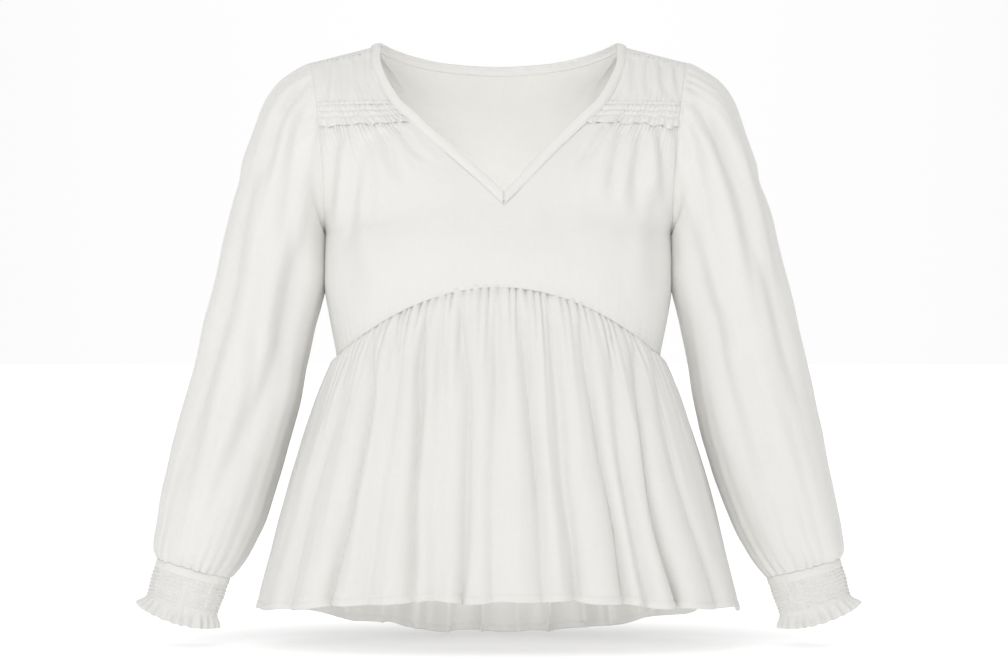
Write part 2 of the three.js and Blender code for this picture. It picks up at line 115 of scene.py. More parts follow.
def add_node(tree, kind, settings, inputs, output=0):
    """Adds a node: its settings first, then a value or a link for each named or numbered input."""
    node = tree.nodes.new(kind)
    for name, value in settings.items():
        setattr(node, name, value)
    for name, value in inputs.items():
        if isinstance(value, Wired):
            tree.links.new(value.socket, node.inputs[name])
        else:
            node.inputs[name].default_value = value
    return Wired(tree, node.outputs[output])


def new_material(name):
    material = bpy.data.materials.new(name)
    material.use_nodes = True
    material.node_tree.nodes.clear()
    return material, material.node_tree


def finish_material(tree, shader):
    out = tree.nodes.new("ShaderNodeOutputMaterial")
    tree.links.new(shader.socket, out.inputs["Surface"])


# The floor's material: its glow is painted light, and a soft oval under the blouse where it glows less is a
# painted shadow.
glowing_floor_painted_shadow, tree = new_material("glowing_floor_painted_shadow")
spot = add_node(tree, "ShaderNodeTexCoord", {}, {}, output="Object")
centred = {"Location": (0, SHADOW_Y, floor_z), "Scale": (SHADOW_HALF_WIDTH, SHADOW_HALF_DEPTH, 1)}
spot = add_node(tree, "ShaderNodeMapping", {"vector_type": "TEXTURE"}, {"Vector": spot, **centred})
distance = add_node(tree, "ShaderNodeVectorMath", {"operation": "LENGTH"}, {0: spot}, output="Value")
reach = {"Value": distance, "From Min": SHADOW_FROM, "From Max": SHADOW_TO}
outside_painted_shadow = add_node(tree, "ShaderNodeMapRange", {"interpolation_type": "SMOOTHSTEP"}, reach)
painted_shadow_shades = {"Factor": outside_painted_shadow, MIX_A: SHADOW_GLOW, MIX_B: OPEN_GLOW}
painted_glow_and_shadow = add_node(tree, "ShaderNodeMix", {"data_type": "RGBA"}, painted_shadow_shades, output=MIX_COLOUR)
matt = {"Base Color": FLOOR_WHITE, "Roughness": 0.9, "Specular IOR Level": 0.0}
matt |= {"Emission Color": painted_glow_and_shadow, "Emission Strength": 1.0}
finish_material(tree, add_node(tree, "ShaderNodeBsdfPrincipled", {}, matt))

floor_mesh = bmesh.new()
bmesh.ops.create_circle(floor_mesh, cap_ends=True, radius=FLOOR_RADIUS, segments=96)
bmesh.ops.translate(floor_mesh, verts=floor_mesh.verts, vec=(0, 0, floor_z))
floor_data = bpy.data.meshes.new("floor")
floor_mesh.to_mesh(floor_data)
floor_mesh.free()
floor_data.materials.append(glowing_floor_painted_shadow)
floor = bpy.data.objects.new("floor", floor_data)
bpy.context.collection.objects.link(floor)

# The air is white, and greyer towards the sides, which draws the edges of the white cloth.
SIDE_LIGHT, FRONT_LIGHT, LIGHT_CURVE = 0.34, 1.0, 1.5
world = bpy.data.worlds.new("studio_air")
world.use_nodes = True
air = world.node_tree
direction = add_node(air, "ShaderNodeTexCoord", {}, {}, output="Generated")
sideways = add_node(air, "ShaderNodeSeparateXYZ", {}, {0: direction}, output="X")
brightness = FRONT_LIGHT - (FRONT_LIGHT - SIDE_LIGHT) * sideways.maths("ABSOLUTE", sideways) ** LIGHT_CURVE
air.links.new(brightness.socket, air.nodes["Background"].inputs["Strength"])
air.nodes["Background"].inputs["Color"].default_value = (1, 1, 1, 1)
bpy.context.scene.world = world
bpy.context.scene.view_settings.view_transform = "Standard"


def soft_light(name, place, target, width, height, watts):
    data = bpy.data.lights.new(name, "AREA")
    data.shape = "RECTANGLE"
    data.size = width
    data.size_y = height
    data.energy = watts
    light = bpy.data.objects.new(name, data)
    light.location = place
    light.rotation_euler = (Vector(target) - Vector(place)).to_track_quat("-Z", "Y").to_euler()
    light.visible_camera = False
    bpy.context.collection.objects.link(light)


soft_light("key_softbox", (-0.95, -2.8, 1.2), target=(0, 0, -0.3), width=1.4, height=1.4, watts=18)
# Two small lights inside the blouse stand for the light that comes through thin white cloth.
soft_light("neck_light", (0, -0.055, -0.21), target=(0, 0.1, -0.04), width=0.24, height=0.07, watts=0.18)
soft_light("hem_light", (0, -0.03, -0.50), target=(0, 0.2, -0.56), width=0.32, height=0.08, watts=0.25)

# ---------------------------------------------------------------------------------------------------------
# Front bodice: one panel of plain-woven cotton, from the shirred bands to the arched empire seam, cut to a V
# at the neck. Short gathers start at the bands and fade over the bust.

# The armhole is one tilted oval. The angle runs from 0 at the shoulder tip to 180 at the underarm.
ARMHOLE_X, ARMHOLE_LEAN, ARMHOLE_BOW = 198, 8, 4.5
ARMHOLE_Z, ARMHOLE_RISE = -116, 95
ARMHOLE_FRONT, ARMHOLE_BACK = 50, 54
UNDERARM_Z = -211
WAIST_Z = -344
ROUNDING = 2.5  # cross sections of the body: 2 is an ellipse, more is squarer
V_LEAN, V_LEAN_Z, V_LEAN_REACH = 6, -166, 48  # the V's point hangs a little aside

# The front half, from the ridge of the shoulder to the empire seam: the neck edge, the seam with the binding
# or the centre front, the armhole angle or side height where the row ends, its turn round the body, its sag.
FRONT_EDGE = [(129.5, 0, 0), (129, -17, -7), (127, -38, -27), (109, -62, -61), (87, -74, -83)]
FRONT_EDGE += [(43, -92, -124), (0, -108, -166)]
FRONT_SEAM = [(139, 0, -3), (138.5, -16, -10), (136, -36, -31), (117, -62, -67), (94, -75, -90.5)]
FRONT_SEAM += [(50, -94, -131.5), (0, -111, -180)]
NECK_ARMHOLE = [0, 12, 34, 59, 77, 112, 150, 180]
NECK_WRAP = [0.5, 0.6, 0.75, 0.88, 0.93, 0.97, 0.99]
NECK_SAG = [1, 1, 1.1, 1.2, 1.3, 1.5, 1.7]
CENTRE_SEAM = [(0, -111, -180), (0, -118, -203), (0, -123, -236), (0, -119, -269)]
CENTRE_WRAP = [0.99, 1, 1, 1]
CENTRE_SAG = [1.7, 1.8, 1.9, 2]
FRONT_SIDE_Z = [UNDERARM_Z, -272, WAIST_Z]
SHOULDER_SEAM, BAND_TOP, BAND_BOTTOM, V_POINT, UNDERARM, EMPIRE_SEAM = 1, 3, 4, 6, 7, 9
SIDE_Z = [WAIST_Z, -315, -282, -250, UNDERARM_Z]
SIDE_X = [176.5, 182.5, 188.5, 191, 190]


def smoothstep(t, low, high):
    t = min(max((t - low) / (high - low), 0), 1)
    return t * t * (3 - 2 * t)


def smooth_of(value, last, at):
    """A smooth value at a place counted in entries, where value(i) gives entry i of 0 to last."""
    i = min(max(int(at), 0), last - 1)
    t = at - i
    b, c = value(i), value(i + 1)
    before = value(i - 1) if i else b * 2 - c
    after = value(i + 2) if i + 2 <= last else c * 2 - b
    bend = before * 2 - b * 5 + c * 4 - after + ((b - c) * 3 + after - before) * t
    return b + (c - before + bend * t) * (t / 2)


def smooth(entries, at):
    if isinstance(entries[0], tuple):
        return smooth_of(lambda i: Vector(entries[i]), len(entries) - 1, at)
    return smooth_of(lambda i: entries[i], len(entries) - 1, at)


def armhole(degrees, back=False):
    a = radians(degrees)
    depth = ARMHOLE_BACK if back else -ARMHOLE_FRONT
    x = ARMHOLE_X + ARMHOLE_LEAN * cos(a) - ARMHOLE_BOW * sin(a) ** 2
    return Vector((x, depth * sin(a), ARMHOLE_Z + ARMHOLE_RISE * cos(a)))


def side_seam(z):
    i = next(k for k in range(1, len(SIDE_Z)) if SIDE_Z[k] >= z - 1e-6)
    at = i - 1 + (z - SIDE_Z[i - 1]) / (SIDE_Z[i] - SIDE_Z[i - 1])
    return Vector((smooth(SIDE_X, at), 0, z))


class ClothRow:
    """A row of cloth across half the body, square to its middle and turning round it towards the side."""

    STEPS = 80

    def __init__(self, inner, outer, wrap, sag):
        turn = lambda share: 1 - max(0, 1 - share**ROUNDING) ** (1 / ROUNDING)
        self.points = []
        for k in range(self.STEPS + 1):
            across = 1 - (1 - k / self.STEPS) ** 3
            y = lerp(inner.y, outer.y, turn(wrap * across) / turn(wrap))
            z = lerp(inner.z, outer.z, across**sag)
            self.points.append(Vector((lerp(inner.x, outer.x, across), y, z)))
        self.along = [0]
        for a, b in zip(self.points, self.points[1:]):
            self.along.append(self.along[-1] + (b - a).length)
        self.length = self.along[-1]

    def at(self, share):
        """The point at a share of the row's length."""
        want = min(max(share, 0), 1) * self.length
        low, high = 0, self.STEPS
        while high - low > 1:
            middle = (low + high) // 2
            low, high = (middle, high) if self.along[middle] <= want else (low, middle)
        span = self.along[high] - self.along[low]
        return self.points[low].lerp(self.points[high], (want - self.along[low]) / span)


def hung(p):
    """The V's point hangs a little to the wearer's left, and carries the cloth round it along."""
    near = exp(-(((p.z - V_LEAN_Z) / V_LEAN_REACH) ** 2)) * max(0, 1 - abs(p.x) / ARMHOLE_X)
    return Vector((p.x + V_LEAN * near, p.y, p.z))


@lru_cache(maxsize=None)
def front_row(v):
    if v >= UNDERARM:
        outer = side_seam(smooth(FRONT_SIDE_Z, v - UNDERARM))
    else:
        outer = armhole(smooth(NECK_ARMHOLE, v))
    if v < V_POINT:
        return ClothRow(smooth(FRONT_SEAM, v), outer, min(smooth(NECK_WRAP, v), 1), smooth(NECK_SAG, v))
    at = v - V_POINT
    return ClothRow(smooth(CENTRE_SEAM, at), outer, min(smooth(CENTRE_WRAP, at), 1), smooth(CENTRE_SAG, at))


def on_front(u, v):
    """A point of the front: u is -1 at the right armhole and 1 at the left, v counts the tables' entries."""
    p = front_row(v).at(abs(u))
    return hung(Vector((-p.x if u < 0 else p.x, p.y, p.z)))


def crumple(x, y, seed):
    """Uneven ups and downs, from -1 to 1, about one unit apart."""
    return noise.noise(Vector((x, y, seed * 7.31)))


def gathers(along, spacing, seed):
    """The ups and downs of gathers along a seam: uneven, sharp valleys between rounder ridges."""
    place = along / spacing + 0.9 * crumple(along / (spacing * 2.1), 0, seed)
    return (abs(sin(pi * place)) ** 0.8 - 0.6) * (1 + 0.7 * crumple(along / (spacing * 1.7), 3, seed))


class Fold:
    """A soft valley in the cloth: its line (x, z) from top to bottom, its half width and its depth, in mm."""

    def __init__(self, line, width, depth, fade_in=0.15, fade_out=0.4):
        self.line = [Vector((x, 0, z)) for x, z in line]
        self.width, self.depth, self.fade_in, self.fade_out = width, depth, fade_in, fade_out

    def at(self, x, z):
        line = self.line
        if z > line[0].z or z < line[-1].z:
            return 0
        i = next(k for k in range(len(line) - 1) if line[k + 1].z <= z)
        t = (line[i].z - z) / (line[i].z - line[i + 1].z)
        away = (x - smooth_of(lambda k: line[k], len(line) - 1, i + t).x) / self.width
        if abs(away) > 3.5:
            return 0
        along = (line[0].z - z) / (line[0].z - line[-1].z)
        fade = smoothstep(along, -0.01, self.fade_in) * (1 - smoothstep(along, 1 - self.fade_out, 1.0))
        return -self.depth * fade * (exp(-away * away) - 0.35 * exp(-(((abs(away) - 2.0) / 0.9) ** 2)))


def folded(folds, x, z):
    return sum(fold.at(x, z) for fold in folds)


def lengths(points):
    along = [0]
    for a, b in zip(points, points[1:]):
        along.append(along[-1] + (b - a).length)
    return along


SAME_PLACE = 2e-5


def sew(name, panels, place, relief, wall, middle=(0, 0, 0), smoothing=0):
    """Makes a piece of cloth from fine grids that share their edges.

    Each panel is ((u, u, columns), (v, v, rows)). place(u, v) is a point in mm, relief(u, v, point) how far
    it then moves out, wall the thickness, middle a point inside, smoothing how often kinks are evened out.
    """
    cloth = bmesh.new()
    weave_map = cloth.loops.layers.uv.new("weave")
    across = cloth.verts.layers.float.new("across")
    down = cloth.verts.layers.float.new("down")
    for (u0, u1, columns), (v0, v1, rows) in panels:
        made = bmesh.ops.create_grid(cloth, x_segments=columns, y_segments=rows, size=1)["verts"]
        width = lengths([place(lerp(u0, u1, i / columns), (v0 + v1) / 2) * MM for i in range(columns + 1)])
        height = lengths([place((u0 + u1) / 2, lerp(v0, v1, j / rows)) * MM for j in range(rows + 1)])
        spot = {}
        for vert in made:
            i = round((vert.co.x + 1) / 2 * columns)
            j = round((vert.co.y + 1) / 2 * rows)
            spot[vert] = (width[i], height[j])
            vert[across] = lerp(u0, u1, i / columns)
            vert[down] = lerp(v0, v1, j / rows)
            vert.co = place(vert[across], vert[down]) * MM
        for face in {f for vert in made for f in vert.link_faces}:
            for loop in face.loops:
                loop[weave_map].uv = spot[loop.vert]
    bmesh.ops.remove_doubles(cloth, verts=cloth.verts, dist=SAME_PLACE)
    bmesh.ops.recalc_face_normals(cloth, faces=cloth.faces)
    inside = Vector(middle) * MM
    if sum(f.normal.dot(f.calc_center_median() - inside) for f in cloth.faces) < 0:
        bmesh.ops.reverse_faces(cloth, faces=cloth.faces)
    inner = [vert for vert in cloth.verts if not vert.is_boundary]
    axes = {"use_axis_x": True, "use_axis_y": True, "use_axis_z": True}
    for _ in range(smoothing):
        bmesh.ops.smooth_vert(cloth, verts=inner, factor=0.5, **axes)
    cloth.normal_update()
    moves = [(vert, vert.normal * relief(vert[across], vert[down], vert.co / MM)) for vert in cloth.verts]
    for vert, move in moves:
        vert.co += move * MM
    for face in cloth.faces:
        face.smooth = True
    data = bpy.data.meshes.new(name)
    cloth.to_mesh(data)
    cloth.free()
    piece = bpy.data.objects.new(name, data)
    bpy.context.collection.objects.link(piece)
    thick = piece.modifiers.new("wall", "SOLIDIFY")
    thick.thickness = wall * MM
    thick.offset = 0
    return piece


COTTON = (0.785, 0.776, 0.752, 1)  # undyed off-white
THREAD = 0.00045  # from one yarn of the weave to the next
WAVE_RUN = 2 * pi / 20  # the Wave texture's own period
YARN, SLUB, CRINKLE = 0.00005, 0.0001, 0.0006  # how high they stand


def woven(name, colour, seed, crinkle=0.0):
    """Matt off-white plain-woven cotton: fine yarns, a few slubs, soft crinkles, and a slight nap."""
    material, tree = new_material(name)
    weave = add_node(tree, "ShaderNodeUVMap", {"uv_map": "weave"}, {})
    place = add_node(tree, "ShaderNodeTexCoord", {}, {}, output="Object")
    yarns = []
    for direction in "X", "Y":
        wave = {"wave_type": "BANDS", "bands_direction": direction, "wave_profile": "SIN"}
        look = {"Vector": weave, "Scale": WAVE_RUN / THREAD, "Distortion": 1.2}
        look |= {"Detail": 1, "Detail Scale": 0.4}
        yarns.append(add_node(tree, "ShaderNodeTexWave", wave, look, output=1))
    slubs = []
    for stretch in (30, 900, 1), (900, 30, 1):
        run = add_node(tree, "ShaderNodeVectorMath", {"operation": "MULTIPLY"}, {0: weave, 1: stretch})
        slubs.append(add_node(tree, "ShaderNodeTexNoise", {}, {"Vector": run, "Scale": 1, "Detail": 2}))
    worn = add_node(tree, "ShaderNodeTexNoise", {}, {"Vector": place, "Scale": 9 + seed, "Detail": 4})
    shade = 0.93 + 0.05 * slubs[0] + 0.05 * slubs[1] + 0.05 * worn
    grey = add_node(tree, "ShaderNodeCombineColor", {}, {0: shade, 1: shade, 2: shade})
    blend = {"data_type": "RGBA", "blend_type": "MULTIPLY"}
    base = add_node(
        tree, "ShaderNodeMix", blend, {"Factor": 1.0, MIX_A: colour, MIX_B: grey}, output=MIX_COLOUR
    )
    look = {"Vector": place, "Scale": 45, "Detail": 5, "Roughness": 0.6}
    soft = add_node(tree, "ShaderNodeTexNoise", {}, look)
    height = YARN * yarns[0] + YARN * yarns[1] + SLUB * slubs[0] + SLUB * slubs[1]
    height = height + (CRINKLE + crinkle) * soft
    bump = add_node(tree, "ShaderNodeBump", {}, {"Height": height, "Strength": 0.8, "Distance": 1.0})
    looks = {
        "Base Color": base,
        "Roughness": 0.8 + 0.12 * worn,
        "Normal": bump,
        "Specular IOR Level": 0.25,
        "Sheen Weight": 0.25,
        "Sheen Roughness": 0.5,
    }
    finish_material(tree, add_node(tree, "ShaderNodeBsdfPrincipled", {}, looks))
    return material


body_cotton = woven("body_cotton", COTTON, 0)

WALL = 1.0
HALF_BODY = 235  # a row's length from the centre to the armhole, about
BELOW_BAND, ABOVE_EMPIRE = 36, 33  # about how long one entry of the tables is at either end
SEAM_STITCH, STITCH_WIDTH, STITCH_DEPTH = 3.2, 0.9, 0.5
# The long soft folds below the bands and over the bust.
BUST_FOLDS = [
    Fold([(-146, -98), (-152, -140), (-160, -190), (-163, -240)], 8, 4.2),
    Fold([(-126, -96), (-118, -125), (-104, -160)], 7, 3.2),
    Fold([(-136, -96), (-138, -150), (-142, -215)], 6, 2.6),
    Fold([(-176, -100), (-181, -150), (-184, -205)], 6, 3.0),
    Fold([(-112, -92), (-90, -122), (-70, -140)], 6, 1.8),
    Fold([(138, -90), (128, -130), (118, -180)], 7, 3.6),
    Fold([(156, -92), (150, -140), (147, -205)], 8, 4.2),
    Fold([(174, -94), (180, -140), (184, -190)], 6, 3.2),
    Fold([(120, -86), (100, -120), (82, -145)], 6, 2.0),
    Fold([(168, -150), (172, -210), (170, -290)], 11, 2.6),
    Fold([(-172, -200), (-160, -250), (-158, -300)], 12, 2.0),
]
TUCK = 0.12  # how far a panel's edge reaches under the piece sewn over it, in entries


def bodice_relief(u, v, p):
    below_band = (v - BAND_BOTTOM) * BELOW_BAND
    above_seam = (EMPIRE_SEAM - v) * ABOVE_EMPIRE
    along = u * HALF_BODY
    out = 1.3 * folded(BUST_FOLDS, p.x, p.z)
    reach = 15 + 10 * crumple(along / 14, 1, 2)
    out += 2.1 * gathers(along, 9, 1) * exp(-max(below_band, 0) / reach) * smoothstep(abs(u), 0.03, 0.25)
    out += 1.5 * gathers(along, 10.5, 71) * exp(-max(above_seam, 0) / 7)
    out += 1.6 * crumple(p.x / 45, p.z / 80, 4) + 0.5 * crumple(p.x / 17, p.z / 28, 5)
    out -= STITCH_DEPTH * exp(-(((above_seam - SEAM_STITCH) / STITCH_WIDTH) ** 2))
    edges = smoothstep(below_band, -5, 2) * smoothstep(1 - abs(u), 0, 0.04)
    return out * edges - 0.7 * (1 - smoothstep(below_band, -5, 3))


HALF = 1e-6  # keeps the two sides of the V apart
halves = []
for left, right in (HALF, 1), (-1, -HALF):
    halves.append(((left, right, 112), (BAND_BOTTOM - TUCK, V_POINT, 54)))
    halves.append(((left, right, 112), (V_POINT, EMPIRE_SEAM, 78)))
front_bodice = sew("front_bodice_cloth", halves, on_front, bodice_relief, WALL, smoothing=160)
front_bodice.data.materials.append(body_cotton)
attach(front_bodice, "root")
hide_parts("front_bodice")

# ---------------------------------------------------------------------------------------------------------
# Shoulder yokes: a small gathered panel on each shoulder, between the shoulder seam and the shirred band.
# Its creases run down from the seam and fan out a little.
YOKE_FOLDS = [
    Fold([(-144, -12), (-143, -40), (-146, -68)], 4, 2.6),
    Fold([(-155, -14), (-152, -40), (-150, -68)], 4, 2.2),
    Fold([(-170, -17), (-168, -45), (-172, -70)], 6, 2.2),
    Fold([(-186, -20), (-187, -45), (-190, -70)], 4, 2.4),
    Fold([(150, -14), (149, -40), (146, -66)], 5, 3.0),
    Fold([(163, -14), (162, -42), (164, -66)], 5, 2.8),
    Fold([(178, -18), (180, -42), (184, -66)], 5, 2.8),
    Fold([(193, -22), (195, -44), (197, -66)], 4, 2.0),
]


YOKE_WIDTH, BELOW_SHOULDER, ABOVE_BAND = 90, 19, 26
YOKE_GATHER = 8  # from one gather to the next, and how far down they reach


def yoke_relief(u, v, p):
    from_seam = (v - SHOULDER_SEAM) * BELOW_SHOULDER
    edge = min(from_seam, (BAND_TOP - v) * ABOVE_BAND)
    out = folded(YOKE_FOLDS, p.x, p.z)
    out += 1.2 * gathers(u * YOKE_WIDTH, YOKE_GATHER, 11) * exp(-max(edge, 0) / YOKE_GATHER)
    out += 0.9 * crumple(p.x / 15, p.z / 30, 12)
    return out * smoothstep(1 - abs(u), 0, 0.05) - 1.3 * (1 - smoothstep(from_seam, -2.5, 1.5))


band_cotton = woven("shirred_cotton", COTTON, 3, crinkle=CRINKLE)
BAND_ROWS, ROW_WIDTH = (0.10, 0.40, 0.68), 0.06  # as shares of the band's height
BAND_WIDTH, PUCKER, RUFFLE = 95, 5.6, 9
RAGGED = 0.09


def on_band(u, v):
    """As on_front, with an uneven lower edge."""
    ragged = RAGGED * crumple(u * 11, 1, 25) * smoothstep(v, BAND_TOP + 0.5, BAND_BOTTOM)
    return on_front(u, v + ragged)


def band_relief(u, v, p):
    """Three stitched rows draw the band in, and it puffs up in fine puckers between and below them."""
    down = v - BAND_TOP + 0.06 * crumple(u * 7, 0, 23)
    row = min(sum(exp(-(((down - place) / ROW_WIDTH) ** 2)) for place in BAND_ROWS), 1)
    pucker = gathers(u * BAND_WIDTH + 3 * crumple(down * 4, u * 9, 24), PUCKER, 21)
    out = (1 - row) * (0.9 + 1.6 * pucker) + row * (0.5 * pucker - 0.5)
    frill = smoothstep(down, 0.72, 1.0)
    ruffle = sin(2 * pi * u * BAND_WIDTH / RUFFLE + 3 * crumple(u * 6, 0, 22))
    return (out + frill * (0.4 + 1.3 * ruffle)) * smoothstep(1 - abs(u), 0, 0.05)


YOKE_COLUMNS, BAND_COLUMNS = 72, 120
for side, sign in ("left", 1), ("right", -1):
    half = (HALF, 1) if sign > 0 else (-1, -HALF)
    panels = [((*half, YOKE_COLUMNS), (SHOULDER_SEAM - TUCK, BAND_TOP + TUCK, 40))]
    yoke = sew(f"shoulder_yoke_{side}_cloth", panels, on_front, yoke_relief, WALL)
    yoke.data.materials.append(body_cotton)
    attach(yoke, "root")
    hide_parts(f"shoulder_yoke_{side}")
    panels = [((*half, BAND_COLUMNS), (BAND_TOP, BAND_BOTTOM, 34))]
    band = sew(f"shoulder_band_{side}_cloth", panels, on_band, band_relief, WALL)
    band.data.materials.append(band_cotton)
    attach(band, "root")
    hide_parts(f"shoulder_band_{side}")

# ---------------------------------------------------------------------------------------------------------
# Back bodice: one panel from the waist seam up the back and over the ridge of the shoulders, where it meets
# the yokes at a seam a little to the front.
BACK_SEAM = [(0, 90, -78), (0, 98, -135), (0, 99, -195), (0, 94, -268), (0, 84, WAIST_Z)]
BACK_ARMHOLE = [80, 122, 180]
BACK_SIDE_Z = [UNDERARM_Z, -276, WAIST_Z]
BACK_WRAP = [0.93, 0.97, 1, 1, 1]
BACK_SAG = [1.5, 1.7, 1.8, 2, 2]
NECK_EDGE = [(0, 75, -20), (54, 66, -17.5), (89, 50, -12), (114, 27, -5.5), (129.5, 0, 0)]
NECK_SEAM = [(0, 78.5, -29.4), (55.5, 70, -26.5), (92.5, 54.5, -20.5), (121, 31, -12), (139, 0, -3)]


def whole_neck(half):
    return [(-x, y, z) for x, y, z in reversed(half[1:])] + half


@lru_cache(maxsize=None)
def back_row(v):
    if v >= 2:
        outer = side_seam(smooth(BACK_SIDE_Z, v - 2))
    else:
        outer = armhole(smooth(BACK_ARMHOLE, v), back=True)
    return ClothRow(smooth(BACK_SEAM, v), outer, min(smooth(BACK_WRAP, v), 1), smooth(BACK_SAG, v))


@lru_cache(maxsize=None)
def back_column(share):
    """One column of cloth above the shoulder blades: its foot, its way there, its top and its way out."""
    foot = back_row(0).at(share)
    start = foot - back_row(0.2).at(share)
    if share < 0.5:
        at = 4 + 8 * share
        seam, edge = smooth(whole_neck(NECK_SEAM), at), smooth(whole_neck(NECK_EDGE), at)
        along = (smooth(whole_neck(NECK_SEAM), at + 0.1) - seam).normalized()
        top, end = seam, (edge - seam).normalized().lerp(along, 0.9 * (2 * share) ** 2)
    else:
        top, end = front_row(0).at(2 * share - 1), Vector((0, -1, 0))
    chord = (top - foot).length
    return foot, start.normalized() * chord, top, end.normalized() * chord


def on_upper_back(share, rise):
    def run(share):
        foot, start, top, end = back_column(share)
        a, b = 1 - rise, rise
        rising = foot * (a * a * (1 + 2 * b)) + start * (a * a * b)
        return rising + top * (b * b * (1 + 2 * a)) - end * (b * b * a)

    pull = armhole(BACK_ARMHOLE[0] * (1 - rise), back=True) - run(1)
    return run(share) + pull * smoothstep(share, 0.5, 1)


def on_back(u, v):
    """A point of the back: v is -1 at the neck and ridge, 0 across the shoulder blades, 4 at the waist."""
    p = on_upper_back(abs(u), -v) if v < 0 else back_row(v).at(abs(u))
    return Vector((-p.x if u < 0 else p.x, p.y, p.z))


BACK_LINES = [
    Fold([(-128, -90), (-134, -150), (-140, -230)], 12, 3.0),
    Fold([(-60, -150), (-66, -230), (-58, -320)], 14, 2.2),
    Fold([(28, -120), (22, -200), (30, -300)], 15, 2.0),
    Fold([(118, -95), (128, -160), (130, -250)], 11, 3.2),
    Fold([(165, -180), (158, -250), (150, -325)], 10, 2.6),
]


BACK_WAIST, UNDERARM_BACK = 4, 2  # entries of the tables
ABOVE_WAIST, IN_FRONT_OF_RIDGE = 66, 17  # about how long one entry is there


def back_relief(u, v, p):
    above_waist = (BACK_WAIST - v) * ABOVE_WAIST
    out = 1.0 * gathers(u * 230, 10, 31) * exp(-max(above_waist, 0) / 12) if v > UNDERARM_BACK else 0
    if v > -1:
        out += folded(BACK_LINES, p.x, p.z)
        out += 1.4 * crumple(p.x / 60, p.z / 80, 32) + 0.4 * crumple(p.x / 18, p.z / 25, 33)
    from_ridge_seam = (v + 2) * IN_FRONT_OF_RIDGE
    if v < -1:
        out += 1.0 * gathers(u * 190, 7, 34) * exp(-max(from_ridge_seam, 0) / 5)
    return out * smoothstep(1 - abs(u), 0, 0.04) + 0.4 * (1 - smoothstep(from_ridge_seam, 0, 3))


def whole_back(u, v):
    """As on_back, and from -1 to -2 the strip in front of the ridge, down to the shoulder seam."""
    if v < -1:
        p = on_front(2 * abs(u) - 1, -1 - v)
        return Vector((-p.x if u < 0 else p.x, p.y, p.z))
    return on_back(u, v)


back_panels = [((-1, 1, 160), (-1, 0, 34)), ((-1, 1, 160), (0, 4, 92))]
back_panels += [((-1, -0.5, 40), (-2, -1, 8)), ((0.5, 1, 40), (-2, -1, 8))]
back_bodice = sew("back_bodice_cloth", back_panels, whole_back, back_relief, WALL, smoothing=20)
back_bodice.data.materials.append(body_cotton)
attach(back_bodice, "root")
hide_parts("back_bodice")

# ---------------------------------------------------------------------------------------------------------
# Neck binding: one folded bias strip of the same cotton round the whole neck, edge-stitched near its seam,
# with its ends mitred at the point of the V.
BINDING_WALL = 1.8
binding_cotton = woven("binding_cotton", (0.80, 0.79, 0.766, 1), 5)
LEFT_RIDGE, RIGHT_RIDGE, BINDING_END = 6, 14, 20  # where the strip passes the shoulders, and its end
MITRE_GAP = 0.25
STITCH_AT, STITCH_SPREAD = 0.12, 0.06  # across the strip, as shares of its width


def on_binding(u, v):
    """A point of the binding: u runs from the V round the neck and back to it, 0 to 20, and v across it."""
    if u < LEFT_RIDGE:
        seam, edge = smooth(FRONT_SEAM, V_POINT - u), smooth(FRONT_EDGE, V_POINT - u)
    elif u > RIGHT_RIDGE:
        seam, edge = smooth(FRONT_SEAM, u - RIGHT_RIDGE), smooth(FRONT_EDGE, u - RIGHT_RIDGE)
        seam, edge = Vector((-seam.x, seam.y, seam.z)), Vector((-edge.x, edge.y, edge.z))
    else:
        at = RIGHT_RIDGE - u
        seam, edge = smooth(whole_neck(NECK_SEAM), at), smooth(whole_neck(NECK_EDGE), at)
    p = hung(seam.lerp(edge, v))
    from_mitre = min(u, BINDING_END - u)
    aside = MITRE_GAP if u < BINDING_END / 2 else -MITRE_GAP
    return p + Vector((aside, 0, 0)) * max(1 - from_mitre, 0)


def binding_relief(u, v, p):
    """The strip is rounder towards its folded edge, and a row of stitches holds it near the seam."""
    roll = 0.7 + 0.8 * sin(pi * min(max(v, 0) * 1.15, 1)) ** 0.8
    stitch = 0.7 * exp(-(((v - STITCH_AT) / STITCH_SPREAD) ** 2))
    return roll - stitch + 0.3 * crumple(u * 14, v, 41) + 0.2 * crumple(u * 40, 0, 42)


strip = [((0, BINDING_END, 420), (-0.06, 1, 13))]
binding = sew("neck_binding_cloth", strip, on_binding, binding_relief, BINDING_WALL, middle=(0, -20, -200))
binding.data.materials.append(binding_cotton)
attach(binding, "root")
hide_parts("neck_binding")

# ---------------------------------------------------------------------------------------------------------
# Sleeves: long full sleeves, gathered over the head at the shoulder, with long soft folds down the arm and
# fine gathers where they run into the cuffs.
SLEEVE_INNER = [(193.6, -213), (193.8, -218), (194, -226), (194.2, -240), (194.6, -262), (200.5, -293)]
SLEEVE_INNER += [(211, -340), (221, -398), (236, -455), (252, -510), (270, -551), (285, -574), (296, -585)]
SLEEVE_OUTER = [(222, -28.5), (242.5, -43.5), (257, -64), (270, -96), (286, -141), (302.5, -194), (318, -262)]
SLEEVE_OUTER += [(334, -335), (352, -412), (368, -480), (378, -534), (379.5, -556), (374, -564)]
SLEEVE_HALF = [55, 60, 63, 64, 64, 63, 62, 62, 61, 58, 51, 40, 30]
LEFT_SLACK = [0, 0, 0, 0, 0, 0, 2, 4.5, 5.5, 3, 1.5, 0.5, 0]
RIGHT_SLACK = [0, 0, 0, 0.5, 1, 3, 5, 7.5, 4, 1.5, 1.5, 1, 0]
